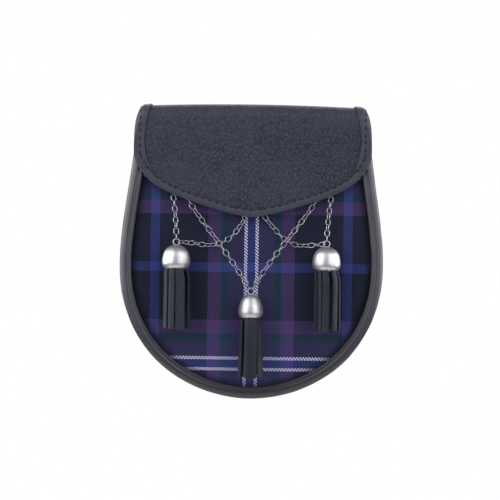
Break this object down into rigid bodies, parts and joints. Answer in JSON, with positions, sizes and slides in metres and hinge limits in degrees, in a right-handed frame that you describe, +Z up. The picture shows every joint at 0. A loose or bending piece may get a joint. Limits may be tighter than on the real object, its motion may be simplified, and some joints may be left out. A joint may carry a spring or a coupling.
{
  "type": "sporran pouch",
  "caption": "Day sporran: flat leather pouch with a rolled rim, tartan cloth front, wrapped flap, belt loops behind, and leather tassels in metal caps on chains",
  "frame": {"origin": "on the flat rear face of the flap's tail, halfway between the two belt loops, where the hanging strap holds the pouch", "axes": "+Z up the pouch, +X to the viewer's right when the front is seen, -Y out of the front"},
  "size_m": [0.18, 0.0604, 0.2013],
  "materials": {
    "pebbled_leather": "pebble grain, satin",
    "rim_leather": "smooth, soft gloss",
    "body_leather": "smooth, satin",
    "tartan_cloth": "twill wool, matte",
    "strip_leather": "smooth, soft gloss",
    "pewter": "polished pewter",
    "steel": "bright"
  },
  "bodies": {
    "root": {"back_panel": "body_leather", "gusset": "body_leather", "front_rim": "rim_leather", "front_panel": "tartan_cloth", "flap": "pebbled_leather", "side_band_left": "rim_leather", "side_band_right": "rim_leather", "belt_loop_left": "body_leather", "belt_loop_right": "body_leather", "press_stud": "steel", "chain_staple_left": "steel", "chain_staple_right": "steel", "chain_staple_centre": "steel", "tassel_cap_left": "pewter", "tassel_cap_right": "pewter", "tassel_cap_centre": "pewter", "tassel_skirt_left": "strip_leather", "tassel_skirt_right": "strip_leather", "tassel_skirt_centre": "strip_leather", "chain_v_left": "steel", "chain_v_right": "steel", "chain_drop_left": "steel", "chain_drop_right": "steel", "chain_swag_left": "steel", "chain_swag_right": "steel"}
  },
  "joints": []
}
